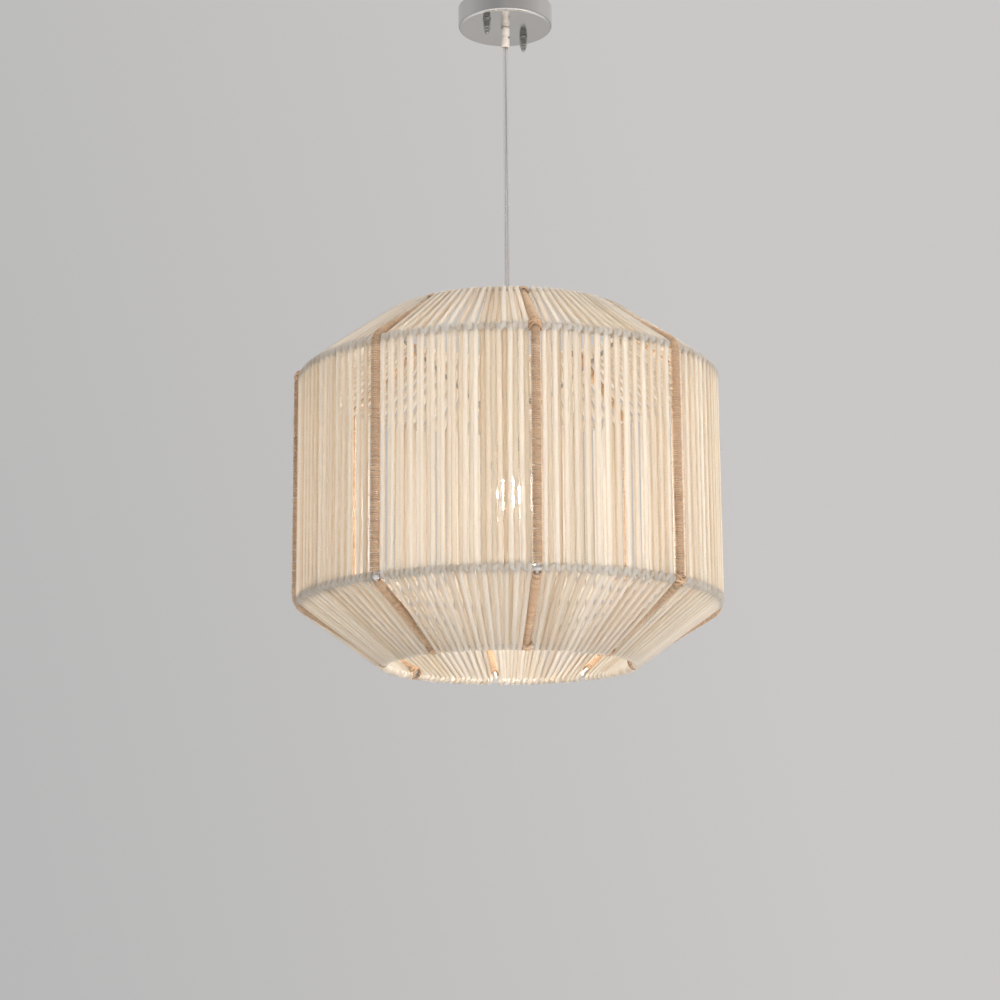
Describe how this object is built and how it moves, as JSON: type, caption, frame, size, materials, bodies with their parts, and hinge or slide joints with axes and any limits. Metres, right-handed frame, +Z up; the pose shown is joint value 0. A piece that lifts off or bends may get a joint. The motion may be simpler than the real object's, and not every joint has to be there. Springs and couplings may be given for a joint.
{
  "type": "hanging lantern",
  "caption": "Barrel-shaped pendant shade of cotton cord wound on a jute-wrapped wire frame, hung on a clear flex from a round metal ceiling canopy.",
  "frame": {"origin": "centre of the crossbar's top face, which lies on the ceiling", "axes": "+Z up, out of the ceiling face; -Y towards the front of the lantern; +X to the right seen from the front"},
  "size_m": [0.4552, 0.4552, 0.7442],
  "materials": {
    "chrome": "polished",
    "steel": "zinc plated",
    "brass": "satin",
    "grip_plastic": "satin",
    "clear_flex": "clear sleeve over pale cores",
    "brown_insulation": "satin",
    "blue_insulation": "satin",
    "holder_plastic": "moulded",
    "ceramic": "unglazed",
    "bulb_glass": "frosted, lit warm white, emissive",
    "cotton_cord": "laid cotton cord",
    "jute": "jute twine"
  },
  "bodies": {
    "ceiling_unit": {"crossbar": "steel", "earth_screw": "brass", "canopy_cup": "chrome", "stud_left": "steel", "jam_nut_left": "steel", "stud_right": "steel", "jam_nut_right": "steel", "grip_locknut": "grip_plastic", "cord_grip": "grip_plastic", "grip_screw": "steel", "terminal_block": "holder_plastic", "flex_tail": "clear_flex", "wire_live": "brown_insulation", "wire_neutral": "blue_insulation"},
    "cap_nut_left": {"cap_nut_left": "chrome"},
    "cap_nut_right": {"cap_nut_right": "chrome"},
    "flex": {"flex": "clear_flex"},
    "lamp": {"holder_grip": "holder_plastic", "holder_cap": "holder_plastic", "holder_body": "holder_plastic", "socket_core": "ceramic", "socket_shell": "brass", "centre_contact": "brass", "shade_ring_upper": "holder_plastic", "spider": "steel", "ring_top": "steel", "ring_upper": "steel", "ring_lower": "steel", "ring_bottom": "steel", "rib_1": "steel", "jute_wrap_1": "jute", "cord_winding_1": "cotton_cord", "rib_2": "steel", "jute_wrap_2": "jute", "cord_winding_2": "cotton_cord", "rib_3": "steel", "jute_wrap_3": "jute", "cord_winding_3": "cotton_cord", "rib_4": "steel", "jute_wrap_4": "jute", "cord_winding_4": "cotton_cord", "rib_5": "steel", "jute_wrap_5": "jute", "cord_winding_5": "cotton_cord", "rib_6": "steel", "jute_wrap_6": "jute", "cord_winding_6": "cotton_cord", "rib_7": "steel", "jute_wrap_7": "jute", "cord_winding_7": "cotton_cord", "rib_8": "steel", "jute_wrap_8": "jute", "cord_winding_8": "cotton_cord"},
    "shade_ring": {"shade_ring_lower": "holder_plastic"},
    "bulb": {"bulb_cap": "brass", "bulb_glass": "bulb_glass"}
  },
  "joints": [
    {"name": "swing_front_back", "type": "hinge", "parent": "ceiling_unit", "child": "flex", "pos_m": [0, 0, -0.047], "axis": [1, 0, 0], "range_deg": [-20, 20]},
    {"name": "swing_side", "type": "hinge", "parent": "flex", "child": "lamp", "pos_m": [0, 0, -0.4], "axis": [0, 1, 0], "range_deg": [-15, 15]},
    {"name": "cap_nut_left_turn", "type": "hinge", "parent": "ceiling_unit", "child": "cap_nut_left", "pos_m": [-0.02014, -0.02487, -0.0325], "axis": [0, 0, 1], "continuous": true},
    {"name": "cap_nut_right_turn", "type": "hinge", "parent": "ceiling_unit", "child": "cap_nut_right", "pos_m": [0.02014, 0.02487, -0.0325], "axis": [0, 0, 1], "continuous": true},
    {"name": "shade_ring_turn", "type": "hinge", "parent": "lamp", "child": "shade_ring", "pos_m": [0, 0, -0.46], "axis": [0, 0, 1], "continuous": true},
    {"name": "bulb_out", "type": "slide", "parent": "lamp", "child": "bulb", "axis": [0, 0, -1], "range_m": [0, 0.045]}
  ]
}
